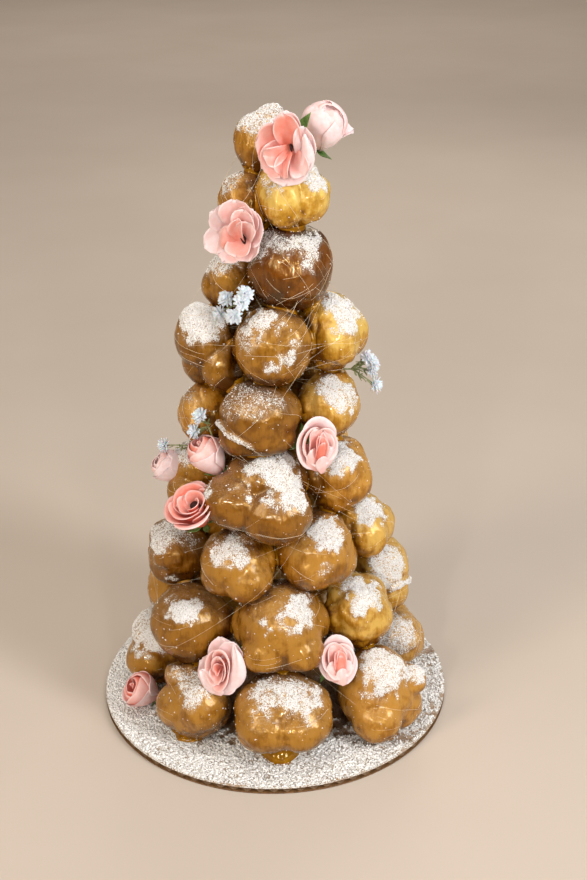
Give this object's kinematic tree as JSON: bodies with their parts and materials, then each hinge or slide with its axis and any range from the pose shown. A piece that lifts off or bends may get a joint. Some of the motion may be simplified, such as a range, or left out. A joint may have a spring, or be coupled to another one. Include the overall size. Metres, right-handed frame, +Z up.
{
  "type": "croquembouche",
  "caption": "Tall leaning cone of caramel-glazed choux puffs dusted with sugar, on a round cake board, with small artificial roses and baby's breath.",
  "frame": {"origin": "middle of the underside of the round cake board, on the surface that it stands on", "axes": "+Z up the tower, -Y to the front that shows the roses, +X to the right of that front"},
  "size_m": [0.203, 0.203, 0.3479],
  "materials": {
    "crust": "baked choux crust under a clear golden caramel glaze",
    "board": "white paper-faced cake board with sugar on it",
    "petal": "satin artificial rose petals, coral inside and pale at the rims",
    "blossom": "white artificial baby's breath on green stems"
  },
  "bodies": {
    "root": {"cake_board": "board", "puff_a1": "crust", "puff_a2": "crust", "puff_a3": "crust", "puff_a4": "crust", "puff_a5": "crust", "puff_a6": "crust", "puff_a7": "crust", "puff_a8": "crust", "puff_b1": "crust", "puff_b2": "crust", "puff_b3": "crust", "puff_b4": "crust", "puff_b5": "crust", "puff_b6": "crust", "puff_b7": "crust", "puff_c1": "crust", "puff_c2": "crust", "puff_c3": "crust", "puff_c4": "crust", "puff_c5": "crust", "puff_c6": "crust", "puff_c7": "crust", "puff_d1": "crust", "puff_d2": "crust", "puff_d3": "crust", "puff_d4": "crust", "puff_d5": "crust", "puff_e1": "crust", "puff_e2": "crust", "puff_e3": "crust", "puff_e4": "crust", "puff_e5": "crust", "puff_f1": "crust", "puff_f2": "crust", "puff_f3": "crust", "puff_f4": "crust", "puff_f5": "crust", "puff_g1": "crust", "puff_g2": "crust", "puff_g3": "crust", "puff_h1": "crust", "puff_h2": "crust", "puff_h3": "crust", "puff_i1": "crust", "rose_behind": "petal", "rose_crown": "petal", "rose_front_left": "petal", "rose_front_right": "petal", "rose_left": "petal", "rose_low_left": "petal", "rose_neck": "petal", "rose_on_board": "petal", "rose_right": "petal", "rose_top": "petal", "sprig_far_left": "blossom", "sprig_left": "blossom", "sprig_neck": "blossom", "sprig_right": "blossom"}
  },
  "joints": []
}
